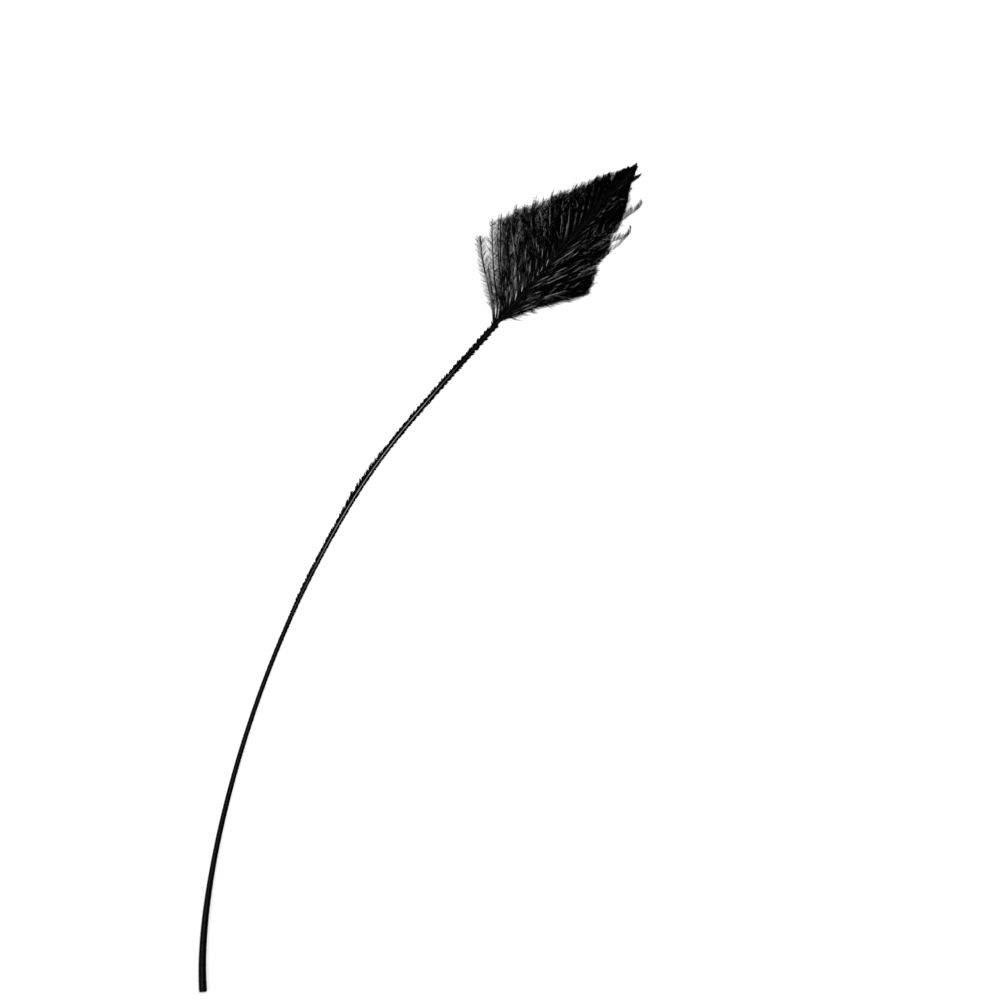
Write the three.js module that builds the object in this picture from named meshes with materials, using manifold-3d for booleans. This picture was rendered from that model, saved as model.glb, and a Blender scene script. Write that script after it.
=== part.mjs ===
// A dyed ostrich feather: a bowed quill, stripped bare below, with a vane trimmed to an arrowhead at its tip.
// It lies on the flat underside of the quill. Millimetres, +X from the cut end to the tip, +Y to the bow, +Z up.
import * as THREE from "three";
import { mergeVertices } from "three/addons/utils/BufferGeometryUtils.js";
import Module from "manifold-3d";

const wasm = await Module();
wasm.setup();

// The shaft's plan: two arcs that meet where the bow is greatest.
const CHORD = 340; // straight line from the cut end to the tip
const BOW = 35.7; // how far the shaft stands off that line
const BOW_AT = 155.7; // where along the line it does
const BOW_HANDLE_TO_QUILL = 55.6; // length of the arc's handle on the quill's side
const BOW_HANDLE_TO_TIP = 58.3;
const QUILL_HANDLE = new THREE.Vector2(32.1, 19.9);
const TIP_HANDLE = new THREE.Vector2(216, 28.7);

// The shaft's section: its radius at distances from the cut end, and the flat that it rests on.
const SHAFT_RADII = [[0, 1.48], [12, 1.36], [47, 1.02], [150, 0.74], [272, 0.7], [300, 0.5], [346, 0.2]];
const SHAFT_SIDES = 12;
const SHAFT_STEPS = 60;
const FLAT_DEPTH = Math.sin(Math.PI / 3); // height of the axis over the flat, in radii
const VANE_START = 0.776; // where the vane begins, as a part of the shaft's length
const VANE_LIFT = 2.8; // how far the barbs hold the shaft off the surface
const VANE_LIFT_WAVE = 0.62 * Math.PI; // how much of a wave's arch the lift runs through, in radians
const HEADING_REACH = 0.002; // how far before and after a place the shaft's heading is read

// Angles in degrees at which barbs leave the shaft, pass their middle and end, by place along the vane.
const BOW_SIDE_SPLAY = [
  [0, 46, 60, 52],
  [0.06, 36, 46, 40],
  [0.15, 34, 45, 40],
  [0.3, 28, 42, 22],
  [0.5, 22, 32, 7],
  [0.7, 14, 22, 2],
  [1, 2, 2, 2],
];
const INNER_SIDE_SPLAY = [
  [0, 21, 36, 38],
  [0.08, 20, 30, 29],
  [0.3, 23, 13, 6],
  [0.6, 18, 8, 2],
  [1, 3, 3, 3],
];
const BARB_LENGTH = 34; // of a whole barb, from which the splay is measured
const BARB_WALK = 0.5; // step with which a barb is followed to the trimmed edge

// The trimmed edge of the vane, from the shaft round by the bow side, the tip and the inner side.
const TRIM = [
  [264.5, 19.6],
  [274.7, 29],
  [280.7, 35.4],
  [288.8, 40.3],
  [300.2, 36],
  [318, 20.6],
  [340, -0.2],
  [322, -4.2],
  [310.4, -4.6],
  [307.1, -6],
  [299, -4.8],
  [288.4, -6.8],
  [277.4, 6.7],
  [267, 16.5],
];

// Locks: barbs that cling together in one tapered blade.
const BOW_SIDE_LOCKS = 36;
const INNER_SIDE_LOCKS = 28;
const LOCK_SIDES = 6;
const LOCK_STEPS = 5;
const LOCK_CROWDING = 1.15; // over 1, locks stand closer together at the foot of the vane
const FIRST_LOCK = 0.1; // how far the first lock stands from the foot of the vane, in the room of one lock
const LOCK_SPACING_FILLED = 0.54; // half-width of a lock, as a part of the room between two
const LOCK_HALF_WIDTH = [0.38, 1.15]; // least and greatest
const LOCK_HALF_HEIGHT = 0.42;
const LOCK_ARCH = [0.9, 2.9]; // how high the even and the odd locks arch, counted from 0
const LOCK_FALL = 1.5; // over 1, a lock stays up longer before it comes down to the surface
const LOCK_PROFILE = [[0, 0.45], [0.3, 0.95], [0.7, 1], [1, 0.4]];
const LOCK_END_HEIGHT = 0.4 * LOCK_HALF_HEIGHT; // of the axis there, so that the end lies on the surface

// Two locks that the shears missed on the inner side, and a second point beside the tip.
const STRAY_LOCKS = [
  [[288.5, 12.8], [303.5, 3.6], [316.6, -3.6], [321.7, -6.3], [325.4, -8.2], [328.2, -8]],
  [[277.9, 15.9], [293.5, 4.2], [308, -5.2], [312.5, -7.4], [315.9, -9], [318.8, -8.7]],
  [[325.3, 3.8], [331.5, 0.2], [335, -1.5], [337.2, -2.4]],
];
const STRAY_HALF_WIDTH = 1.1;
const STRAY_ROOT_HEIGHT = 1.8;

// Stubs of stripped barbs along both edges of the quill below the vane.
const STUBS = 32;
const STUBS_START = 0.5; // as a part of the shaft's length
// Length of a stub by its place along the shaft.
const STUB_LENGTHS = [[0.5, 1], [0.53, 1.6], [0.55, 2.4], [0.6, 2.3], [0.63, 1.5], [VANE_START, 1.8]];
const STUB_HALF_WIDTH = 0.36;
const STUB_SPLAY = 34;
const STUB_SIDES = 4;
const STUB_THINNING = 0.6; // how much of its width a stub loses by its end

const DYED_BLACK = new THREE.MeshStandardMaterial({ color: 0x0b0b0d, roughness: 0.45, metalness: 0 });
const UP = new THREE.Vector3(0, 0, 1);

// Straight lines between the rows of a table whose first column is the place: [place, value, ...].
function readTable(rows, place, column = 1) {
  const next = rows.findIndex((row) => row[0] >= place);
  if (next < 1) {
    return next === 0 ? rows[0][column] : rows[rows.length - 1][column];
  }
  const [before, after] = [rows[next - 1], rows[next]];
  const part = (place - before[0]) / (after[0] - before[0]);
  return THREE.MathUtils.lerp(before[column], after[column], part);
}

function shaftPlan() {
  const top = new THREE.Vector2(BOW_AT, BOW);
  const plan = new THREE.CurvePath();
  plan.add(new THREE.CubicBezierCurve(
    new THREE.Vector2(0, 0),
    QUILL_HANDLE,
    new THREE.Vector2(BOW_AT - BOW_HANDLE_TO_QUILL, BOW),
    top,
  ));
  plan.add(new THREE.CubicBezierCurve(
    top,
    new THREE.Vector2(BOW_AT + BOW_HANDLE_TO_TIP, BOW),
    TIP_HANDLE,
    new THREE.Vector2(CHORD, 0),
  ));
  return plan;
}

const plan = shaftPlan();
const shaftLength = plan.getLength();
const shaftRadius = (along) => readTable(SHAFT_RADII, along * shaftLength);
const placeInVane = (along) => Math.max(0, (along - VANE_START) / (1 - VANE_START));
const alongShaft = (vanePlace) => VANE_START + vanePlace * (1 - VANE_START);

// The axis keeps the flat on the surface, and rises in a soft wave once barbs are under it.
function shaftPoint(along) {
  const point = plan.getPoint(along);
  const lift = VANE_LIFT * Math.sin(VANE_LIFT_WAVE * placeInVane(along)) ** 2;
  return new THREE.Vector3(point.x, point.y, shaftRadius(along) * FLAT_DEPTH + lift);
}

function shaftHeading(along) {
  const ahead = plan.getPoint(Math.min(1, along + HEADING_REACH));
  const behind = plan.getPoint(Math.max(0, along - HEADING_REACH));
  return Math.atan2(ahead.y - behind.y, ahead.x - behind.x);
}

function solidOf(geometry) {
  geometry.deleteAttribute("normal");
  geometry.deleteAttribute("uv");
  const merged = mergeVertices(geometry);
  return new wasm.Manifold(new wasm.Mesh({
    numProp: 3,
    vertProperties: merged.attributes.position.array,
    triVerts: new Uint32Array(merged.index.array),
  }));
}

// Bends a cylinder along a path. The section at each place is an ellipse of the two half sizes there, with
// its underside cut flat at flatDepth half-heights below the axis.
function bentRod(sides, steps, pointAt, halfWidthAt, halfHeightAt, flatDepth = 1) {
  const reach = 0.01; // how far before and after a place the path's direction is read
  const rod = new THREE.CylinderGeometry(1, 1, 1, sides, steps);
  const vertices = rod.attributes.position;
  for (let i = 0; i < vertices.count; i += 1) {
    const place = vertices.getY(i) + 0.5;
    const before = pointAt(Math.max(0, place - reach));
    const forward = pointAt(Math.min(1, place + reach)).sub(before).setZ(0).normalize();
    const right = forward.cross(UP);
    const height = Math.max(vertices.getZ(i), -flatDepth) * halfHeightAt(place);
    const point = pointAt(place).addScaledVector(right, vertices.getX(i) * halfWidthAt(place));
    vertices.setXYZ(i, point.x, point.y, point.z + height);
  }
  return solidOf(rod);
}

function makeShaft() {
  return bentRod(SHAFT_SIDES, SHAFT_STEPS, shaftPoint, shaftRadius, shaftRadius, FLAT_DEPTH);
}

function insideTrim(x, y) {
  let inside = false;
  TRIM.forEach(([x1, y1], i) => {
    const [x2, y2] = TRIM[(i + 1) % TRIM.length];
    if (y1 > y !== y2 > y && x < x1 + ((y - y1) * (x2 - x1)) / (y2 - y1)) {
      inside = !inside;
    }
  });
  return inside;
}

// The angle between barb and shaft, on a parabola through its values at the root, the middle and the end.
function splayAt(table, vanePlace, part) {
  const [root, middle, end] = [1, 2, 3].map((column) => readTable(table, vanePlace, column));
  const bend = 2 * (root + end - 2 * middle);
  return THREE.MathUtils.degToRad(root + (end - root - bend) * part + bend * part * part);
}

// Follows a barb from the shaft until it leaves the trimmed outline. side is 1 to the bow and -1 away from it.
function barbPlan(side, table, vanePlace) {
  const along = alongShaft(vanePlace);
  const heading = shaftHeading(along);
  const point = plan.getPoint(along);
  const points = [point.clone()];
  for (let walked = 0; walked < 2 * BARB_LENGTH; walked += BARB_WALK) {
    const part = Math.min(1, walked / BARB_LENGTH);
    const angle = heading + side * splayAt(table, vanePlace, part);
    point.x += BARB_WALK * Math.cos(angle);
    point.y += BARB_WALK * Math.sin(angle);
    if (!insideTrim(point.x, point.y)) {
      break;
    }
    points.push(point.clone());
  }
  return new THREE.SplineCurve(points);
}

// A lock along a plan curve: it leaves the shaft at its axis, arches, and comes down near the surface.
function makeLock(lockPlan, rootHeight, arch, halfWidth) {
  const pointAt = (part) => {
    const point = lockPlan.getPoint(part);
    const height = THREE.MathUtils.lerp(rootHeight, LOCK_END_HEIGHT, part ** LOCK_FALL);
    return new THREE.Vector3(point.x, point.y, height + arch * Math.sin(Math.PI * part));
  };
  const halfWidthAt = (part) => halfWidth * readTable(LOCK_PROFILE, part);
  const halfHeightAt = (part) => LOCK_HALF_HEIGHT * readTable(LOCK_PROFILE, part);
  return bentRod(LOCK_SIDES, LOCK_STEPS, pointAt, halfWidthAt, halfHeightAt);
}

function makeSideLocks(side, table, count) {
  const pitch = ((1 - VANE_START) * shaftLength) / count;
  return Array.from({ length: count }, (_, i) => {
    const vanePlace = ((i + FIRST_LOCK) / count) ** LOCK_CROWDING;
    const room = pitch * Math.sin(splayAt(table, vanePlace, 0.5));
    const halfWidth = THREE.MathUtils.clamp(room * LOCK_SPACING_FILLED, ...LOCK_HALF_WIDTH);
    const lockPlan = barbPlan(side, table, vanePlace);
    const arch = LOCK_ARCH[i % 2] * Math.min(1, lockPlan.getLength() / BARB_LENGTH);
    return makeLock(lockPlan, shaftPoint(alongShaft(vanePlace)).z, arch, halfWidth);
  });
}

function makeStrayLocks() {
  return STRAY_LOCKS.map((points) => {
    const lockPlan = new THREE.SplineCurve(points.map(([x, y]) => new THREE.Vector2(x, y)));
    return makeLock(lockPlan, STRAY_ROOT_HEIGHT, LOCK_ARCH[0], STRAY_HALF_WIDTH);
  });
}

function makeStubs() {
  return Array.from({ length: STUBS }, (_, i) => {
    const side = i % 2 ? 1 : -1;
    const along = THREE.MathUtils.lerp(STUBS_START, VANE_START, i / STUBS);
    const root = shaftPoint(along);
    const angle = shaftHeading(along) + side * THREE.MathUtils.degToRad(STUB_SPLAY);
    const reach = new THREE.Vector3(Math.cos(angle), Math.sin(angle), 0);
    const pointAt = (part) => root.clone().addScaledVector(reach, part * readTable(STUB_LENGTHS, along));
    const taperAt = (part) => STUB_HALF_WIDTH * (1 - STUB_THINNING * part);
    return bentRod(STUB_SIDES, 1, pointAt, taperAt, taperAt);
  });
}

// Moves the geometry so that the middle of its box's underside is the origin.
function restOnOrigin(geometry) {
  geometry.computeBoundingBox();
  const { min, max } = geometry.boundingBox;
  return geometry.translate(-(min.x + max.x) / 2, -(min.y + max.y) / 2, -min.z);
}

function geometryOf(solid) {
  const { vertProperties, triVerts } = solid.getMesh();
  const geometry = new THREE.BufferGeometry();
  geometry.setAttribute("position", new THREE.BufferAttribute(vertProperties, 3));
  geometry.setIndex(new THREE.BufferAttribute(triVerts, 1));
  geometry.computeVertexNormals();
  return geometry;
}

function makeFeather() {
  const grown = wasm.Manifold.union([
    makeShaft(),
    ...makeSideLocks(1, BOW_SIDE_SPLAY, BOW_SIDE_LOCKS),
    ...makeSideLocks(-1, INNER_SIDE_SPLAY, INNER_SIDE_LOCKS),
    ...makeStrayLocks(),
    ...makeStubs(),
  ]);
  const mesh = new THREE.Mesh(restOnOrigin(geometryOf(grown)), DYED_BLACK);
  mesh.name = "feather";
  return mesh;
}

const feather = new THREE.Group();
feather.add(makeFeather());

export default feather;
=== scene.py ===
"""A dyed ostrich feather, stripped to a bare quill and trimmed to an arrowhead, lying on a pale floor.

Metres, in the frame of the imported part: +X runs from the cut end to the tip, +Y to the side that the quill
bows to.
"""

import bpy
import numpy as np
from bpy.props import FloatProperty, FloatVectorProperty, IntProperty, PointerProperty
from mathutils import Matrix, Vector


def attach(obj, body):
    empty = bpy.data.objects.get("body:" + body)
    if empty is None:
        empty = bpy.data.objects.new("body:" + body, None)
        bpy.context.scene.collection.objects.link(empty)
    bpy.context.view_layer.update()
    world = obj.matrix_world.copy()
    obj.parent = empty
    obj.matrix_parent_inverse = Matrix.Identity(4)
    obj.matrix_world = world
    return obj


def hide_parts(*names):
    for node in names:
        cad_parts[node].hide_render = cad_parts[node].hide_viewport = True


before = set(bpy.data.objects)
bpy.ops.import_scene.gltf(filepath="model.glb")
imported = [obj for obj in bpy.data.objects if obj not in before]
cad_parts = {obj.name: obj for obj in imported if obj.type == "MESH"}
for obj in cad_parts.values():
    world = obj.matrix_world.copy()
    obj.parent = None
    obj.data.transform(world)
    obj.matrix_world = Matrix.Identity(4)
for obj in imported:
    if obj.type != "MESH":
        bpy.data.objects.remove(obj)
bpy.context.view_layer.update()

bl_info = {
    "name": "Ostrich feather",
    "version": (1, 0, 0),
    "blender": (4, 5, 0),
    "location": "View3D > Sidebar > Feather",
    "description": "A dyed ostrich feather with a stripped quill and a trimmed vane",
    "category": "Mesh",
}

BODY = "root"
NODE = "feather"
MM = 0.001

# ---------------------------------------------------------------- sizes, in millimetres from the cut end

# The shaft's plan: two Bezier arcs that meet where the bow is greatest.
CUT_END = (0.0, 0.0)
QUILL_HANDLE = (32.1, 19.9)
BOW_QUILL_HANDLE = (100.1, 35.7)
BOW_TOP = (155.7, 35.7)
BOW_TIP_HANDLE = (214.0, 35.7)
TIP_HANDLE = (216.0, 28.7)
SHAFT_TIP = (340.0, 0.0)

# Radius of the shaft at distances from the cut end.
SHAFT_RADII = [
    (0, 1.48), (12, 1.36), (47, 1.02), (150, 0.74), (272, 0.7), (300, 0.5), (346, 0.16), (350, 0.06),
]
FLAT_DEPTH = 0.866  # height of the axis over the flat underside, in radii
HOLLOW_DEPTH = 4.0
HOLLOW_WIDTH = 0.7  # as a part of the shaft's

VANE_START = 0.776  # where the vane begins, as a part of the shaft's length
VANE_LIFT = 2.8  # greatest rise of the shaft over the barbs under it
LIFT_ARC = 0.62 * np.pi  # the angle, at the tip, whose squared sine the lift follows
FLOOR_GAP = 0.02  # least distance between a fibre's underside and the floor
BARB_LENGTH = 34.0  # of a whole barb, over which its splay is read

# Angles in degrees between barb and shaft at the barb's root, middle and end, by place along the vane.
BOW_SIDE_SPLAY = [
    (0.0, 29, 43, 43),
    (0.045, 26, 44, 41),
    (0.15, 24, 47, 43),
    (0.3, 20, 44, 25),
    (0.5, 17, 33, 8),
    (0.7, 12, 22, 2),
    (1.0, 2, 2, 2),
]
INNER_SIDE_SPLAY = [
    (0.0, 17, 30, 37),
    (0.08, 20, 31, 29),
    (0.3, 23, 13, 6),
    (0.6, 18, 8, 2),
    (1.0, 3, 3, 3),
]

# Where the shears went: the bow side, the tip, then the inner side. The points at both ends of the list stand
# clear of the two edges that were never cut.
TRIM = np.array([
    (255.0, 14.0), (258.0, 26.0), (270.0, 38.0), (281.0, 45.0), (288.4, 41.9), (291.1, 36.9), (294.2, 36.6),
    (296.6, 39.0), (299.4, 35.8), (301.6, 32.4), (304.9, 30.9), (308.6, 27.9), (316.8, 20.3), (324.0, 14.2),
    (329.4, 10.1), (333.2, 6.5), (337.6, 1.7), (339.0, 0.4), (338.8, -0.5), (336.2, -1.0), (332.9, -1.3),
    (328.2, -2.6), (323.0, -3.9), (319.0, -4.9), (315.0, -5.3), (310.4, -4.6), (307.1, -6.0), (302.6, -5.4),
    (299.3, -5.5), (296.8, -5.7), (288.8, -6.4), (283.0, -2.6), (274.5, 5.4), (267.0, 12.6), (260.0, 14.0),
])

# Routes of the outermost barbs of the bow side, which stand apart.
FIRST_BARBS = [
    [
        (263.0, 18.8), (265.2, 20.0), (267.6, 21.4), (270.1, 23.3), (274.7, 27.0), (279.3, 31.1),
        (283.1, 34.1), (286.5, 36.3), (290.3, 38.7),
    ],
    [(263.3, 18.7), (265.4, 19.9), (268.0, 21.3), (270.5, 22.8), (274.4, 25.6), (278.2, 28.5), (281.6, 30.8)],
    [
        (263.6, 18.6), (267.4, 19.8), (270.0, 20.8), (273.6, 23.2), (278.1, 26.4), (283.7, 29.9),
        (290.6, 33.9), (297.6, 37.7),
    ],
    [
        (264.8, 18.3), (268.4, 19.0), (271.3, 19.7), (275.4, 22.1), (280.6, 25.5), (286.8, 29.4),
        (293.1, 33.0), (300.4, 36.2),
    ],
    [(266.4, 17.9), (269.6, 18.4), (272.8, 19.3), (277.4, 21.4), (285.7, 26.0), (292.6, 30.1), (298.6, 33.5)],
    [(268.4, 17.4), (271.7, 17.9), (274.7, 18.7), (279.0, 20.7), (286.3, 24.8), (293.2, 28.9), (300.9, 33.0)],
]
FIRST_ROOT_HEIGHT = 1.2
FIRST_PITCH = 0.003  # from one of them to the next, as a part of the vane

# Routes of the barbs that the shears missed on the inner side, and of the two that make a second point.
STRAY_BARBS = [
    [
        (288.5, 12.8), (303.5, 4.2), (314.6, -2.5), (317.6, -4.2), (320.4, -5.5), (323.1, -6.9),
        (325.3, -8.0), (326.7, -8.4), (328.3, -8.0),
    ],
    [
        (277.9, 15.9), (293.5, 4.2), (307.0, -3.2), (309.8, -4.6), (312.6, -7.5), (314.8, -9.2),
        (316.4, -9.3), (318.2, -8.8),
    ],
    [(280.5, 15.2), (298.0, 2.5), (305.0, -4.0), (307.4, -6.2), (310.0, -7.9), (312.6, -8.4), (315.4, -9.2)],
    [(325.3, 3.8), (331.0, 0.4), (334.2, -1.3), (336.4, -2.8)],
    [(322.0, 4.8), (330.0, 0.0), (333.6, -1.7), (335.7, -2.9)],
]
STRAY_ROOT_HEIGHT = 2.4
STRAY_PLACE = 0.5  # at which the tables by place are read for them

# How barbules grow, by place along the vane: the bare root of a barb, the share of barbules that are left,
# their length as a part of the greatest, that of those on the vane's outer edge as a part of theirs, how far
# they crowd to the barb's root, and how far they spread.
BOW_SIDE_BARBULES = [
    (0.0, 6.0, 0.26, 0.9, 1.0, 1.8, 1.3),
    (0.045, 6.0, 0.38, 0.9, 1.0, 1.7, 1.3),
    (0.07, 5.4, 0.4, 0.88, 1.0, 1.3, 1.3),
    (0.09, 5.0, 0.3, 0.87, 1.0, 1.1, 1.3),
    (0.115, 4.2, 0.3, 0.86, 1.0, 1.0, 1.3),
    (0.14, 3.9, 0.75, 0.85, 1.0, 1.0, 1.2),
    (0.2, 3.5, 0.85, 0.84, 1.0, 1.0, 1.2),
    (0.3, 3.0, 0.9, 0.8, 1.0, 1.0, 1.2),
    (0.38, 1.9, 0.95, 0.76, 1.0, 1.0, 1.2),
    (0.5, 0.5, 1.0, 0.73, 1.0, 1.0, 1.2),
    (1.0, 0.3, 1.0, 0.55, 1.0, 1.0, 1.2),
]
INNER_SIDE_BARBULES = [
    (0.0, 1.2, 1.0, 0.95, 0.4, 1.0, 1.0),
    (0.02, 1.2, 1.0, 0.95, 0.5, 1.0, 1.0),
    (0.03, 1.2, 1.0, 0.94, 1.0, 1.0, 1.0),
    (0.5, 1.0, 1.0, 0.73, 1.0, 1.0, 1.0),
    (1.0, 0.3, 1.0, 0.55, 1.0, 1.0, 1.0),
]

# The same columns for each of the barbs whose routes are listed.
FIRST_BARBULES = [
    (5.5, 0.95, 0.9, 1.0, 1.0, 1.5),
    (5.0, 0.4, 0.6, 1.0, 1.6, 1.3),
    (5.8, 0.85, 0.8, 1.0, 1.3, 1.5),
    (6.0, 0.5, 0.8, 1.0, 1.9, 1.5),
    (7.0, 0.85, 0.5, 1.0, 1.2, 0.9),
    (7.0, 0.9, 0.42, 1.0, 1.3, 0.75),
]
STRAY_BARBULES = [
    (20.0, 0.5, 1.05, 1.0, 0.7, 1.6),
    (26.0, 0.5, 0.9, 1.0, 0.7, 1.6),
    (25.0, 0.4, 0.65, 1.0, 0.8, 1.4),
    (1.0, 1.0, 0.65, 1.0, 1.0, 0.8),
    (1.0, 1.0, 0.65, 1.0, 1.0, 0.8),
]

# By place along the vane: how much painted sheen the fibres carry (lighter grey in place of highlights), how
# stout a barb is and how far it thins, how uneven the shears left the ends, how far those lean to the tip,
# how far barbules pass the shears' outline, how long a stretch of a barb holds one tuft of them, and how
# stout they are.
BOW_SIDE_SHEEN = [
    (0.0, 0.4), (0.01, 0.6), (0.025, 0.95), (0.12, 0.84), (0.3, 0.38), (0.5, 0.2), (0.7, 0.05), (1.0, 0.0),
]
INNER_SIDE_SHEEN = [(0.0, 0.15), (0.03, 0.45), (0.15, 0.55), (0.45, 0.45), (0.7, 0.2), (1.0, 0.0)]
BARB_STOUTNESS = [(0.0, 1.5), (0.01, 1.35), (0.35, 1.0)]
BARB_THINNING = [(0.0, 0.5), (0.02, 0.8), (0.3, 0.86)]
SHEAR_PLAY = [(0.0, 0.5), (0.15, 0.9), (0.5, 0.8), (0.8, 0.35)]
CURL_REACH = [(0.0, 0.6), (0.05, 1.8), (0.45, 1.8), (0.7, 0.0)]
FRINGE_REACH = [(0.0, 0.8), (0.02, 3.6), (0.1, 4.2), (0.4, 2.8), (0.8, 1.5)]
TUFT_SIZES = [(0.0, 0.35), (0.005, 1.15), (0.15, 1.0), (0.3, 0.7)]
BARBULE_FINENESS = [(0.0, 0.75), (0.01, 1.0)]


# ---------------------------------------------------------------- shapes


def smooth_step(x):
    """Rises from 0 to 1 with no slope at either end: 3x^2 - 2x^3."""
    x = np.clip(x, 0.0, 1.0)
    return x * x * (3.0 - 2.0 * x)


def bezier(points, steps):
    """A cubic Bezier arc: its four points weighted by the Bernstein polynomials of t, from 0 to 1."""
    t = np.linspace(0.0, 1.0, steps)[:, None]
    start, first, second, end = (np.array(p, float) for p in points)
    return (1 - t) ** 3 * start + 3 * t * (1 - t) ** 2 * first + 3 * t * t * (1 - t) * second + t**3 * end


def read_columns(rows, place):
    """Straight lines between the rows of a table whose first column is the place: an array a column."""
    table = np.array(rows, float)
    return [np.interp(place, table[:, 0], column) for column in table.T[1:]]


def read_curve(rows, place):
    """The same for a table with one column beside the place."""
    return read_columns(rows, place)[0]


def cut_end_of_node():
    """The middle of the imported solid's cut end in plan: the mean of the corners at the low-X end."""
    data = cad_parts[NODE].data
    corners = np.empty(len(data.vertices) * 3)
    data.vertices.foreach_get("co", corners)
    corners = np.unique(corners.reshape(-1, 3).round(6), axis=0)
    section = corners[corners[:, 0] < corners[:, 0].min() + 2.0 * MM]
    return section[:, :2].mean(axis=0) / MM


class Shaft:
    """The line that everything grows on. Places along it run from 0 at the cut end to 1 at the tip."""

    STEPS = 600  # on each of its arcs

    def __init__(self):
        low = bezier((CUT_END, QUILL_HANDLE, BOW_QUILL_HANDLE, BOW_TOP), self.STEPS)
        high = bezier((BOW_TOP, BOW_TIP_HANDLE, TIP_HANDLE, SHAFT_TIP), self.STEPS)
        self.plan = np.vstack([low, high[1:]])
        strides = np.linalg.norm(np.diff(self.plan, axis=0), axis=1)
        walked = np.concatenate([[0.0], np.cumsum(strides)])
        self.length = walked[-1]
        self.places = walked / self.length
        ahead = np.gradient(self.plan, axis=0)
        self.headings = np.unwrap(np.arctan2(ahead[:, 1], ahead[:, 0]))

    def radius(self, place):
        return read_curve(SHAFT_RADII, np.asarray(place) * self.length)

    def heading(self, place):
        return np.interp(place, self.places, self.headings)

    def point(self, place):
        """The axis keeps the flat on the floor, and rises as a squared sine once barbs are under it."""
        place = np.asarray(place, float)
        in_vane = np.clip((place - VANE_START) / (1 - VANE_START), 0.0, 1.0)
        lift = VANE_LIFT * np.sin(LIFT_ARC * in_vane) ** 2
        height = self.radius(place) * FLAT_DEPTH + lift
        x, y = (np.interp(place, self.places, self.plan[:, axis]) for axis in (0, 1))
        return np.stack([x, y, height], axis=-1)


def inside_trim(points):
    """Even-odd rule: inside is where a line along +X crosses the outline an odd number of times."""
    x, y = points[..., 0], points[..., 1]
    inside = np.zeros(x.shape, bool)
    for (x1, y1), (x2, y2) in zip(TRIM, np.roll(TRIM, -1, axis=0)):
        if y1 == y2:
            continue
        spans = (y1 > y) != (y2 > y)
        inside ^= spans & (x < x1 + (y - y1) * (x2 - x1) / (y2 - y1))
    return inside


def waves(rng, rows, columns, knots, size):
    """One soft random curve per row: normal draws at a few knots, joined by cosine easing."""
    draws = rng.normal(0.0, size, (rows, knots))
    at = np.linspace(0.0, knots - 1.001, columns)
    left = at.astype(int)
    ease = 0.5 - 0.5 * np.cos(np.pi * (at - left))
    return draws[:, left] * (1 - ease) + draws[:, left + 1] * ease


def gather(values, row, at):
    """Reads a table of rows at fractional columns, on a straight line between the two nearest."""
    at = np.clip(at, 0.0, values.shape[1] - 1.001)
    left = at.astype(int)
    part = (at - left).reshape(at.shape + (1,) * (values.ndim - 2))
    return values[row, left] * (1 - part) + values[row, left + 1] * part


def fibres(centres, half_widths, half_heights, sides):
    """Tapering closed rods, one per row of centres.

    Each ring is an ellipse across the fibre's own direction: centre + S w cos(a) + U h sin(a), where S is
    level and U stands on both S and the direction. The root is closed by a flat face and the end by a point.
    Returns vertices, the corners of all faces in one list, and where each face starts in it.
    """
    count, rings = centres.shape[:2]
    forward = np.gradient(centres, axis=1)
    forward /= np.linalg.norm(forward, axis=2, keepdims=True)
    across = np.cross(forward, (0.0, 0.0, 1.0))
    across /= np.maximum(np.linalg.norm(across, axis=2, keepdims=True), 1e-9)
    upward = np.cross(across, forward)
    angles = 2 * np.pi * (np.arange(sides) + 0.25) / sides
    wide = (half_widths[..., None] * np.cos(angles))[..., None] * across[:, :, None]
    high = (half_heights[..., None] * np.sin(angles))[..., None] * upward[:, :, None]
    skin = (centres[:, :, None] + wide + high)[:, :-1].reshape(count, -1, 3)
    vertices = np.concatenate([skin, centres[:, -1:]], axis=1)

    ring, side = np.meshgrid(np.arange(rings - 2), np.arange(sides), indexing="ij")
    near, far = ring * sides + side, (ring + 1) * sides + side
    turn = (side + 1) % sides
    walls = np.stack([near, far, (ring + 1) * sides + turn, ring * sides + turn], axis=-1).reshape(-1, 4)
    last = (rings - 2) * sides + np.arange(sides)
    tip = np.full(sides, (rings - 1) * sides)
    point = np.stack([last, tip, (rings - 2) * sides + (np.arange(sides) + 1) % sides], axis=-1)
    pattern = np.concatenate([walls.ravel(), point.ravel(), np.arange(sides)])
    totals = np.concatenate([np.full(len(walls), 4), np.full(sides, 3), [sides]])
    corners = (pattern[None] + np.arange(count)[:, None] * vertices.shape[1]).ravel()
    starts = np.concatenate([[0], np.cumsum(np.tile(totals, count))[:-1]])
    return vertices.reshape(-1, 3), corners, starts


def tube(rings):
    """A closed skin over rings of the same number of corners, each end drawn to the middle of its ring."""
    count, sides = rings.shape[:2]
    ring, side = np.meshgrid(np.arange(count - 1), np.arange(sides), indexing="ij")
    turn = (side + 1) % sides
    near, far = ring * sides, (ring + 1) * sides
    walls = np.stack([near + side, far + side, far + turn, near + turn], axis=-1).reshape(-1, 4)
    first, last = count * sides, count * sides + 1
    around = np.arange(sides)
    next_one = (around + 1) % sides
    end = (count - 1) * sides
    root_fan = np.stack([np.full(sides, first), around, next_one], axis=-1)
    tip_fan = np.stack([np.full(sides, last), end + next_one, end + around], axis=-1)
    vertices = np.concatenate([rings.reshape(-1, 3), rings[:1].mean(axis=1), rings[-1:].mean(axis=1)])
    corners = np.concatenate([walls.ravel(), root_fan.ravel(), tip_fan.ravel()])
    totals = np.concatenate([np.full(len(walls), 4), np.full(2 * sides, 3)])
    return vertices, corners, np.concatenate([[0], np.cumsum(totals)[:-1]])


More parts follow.
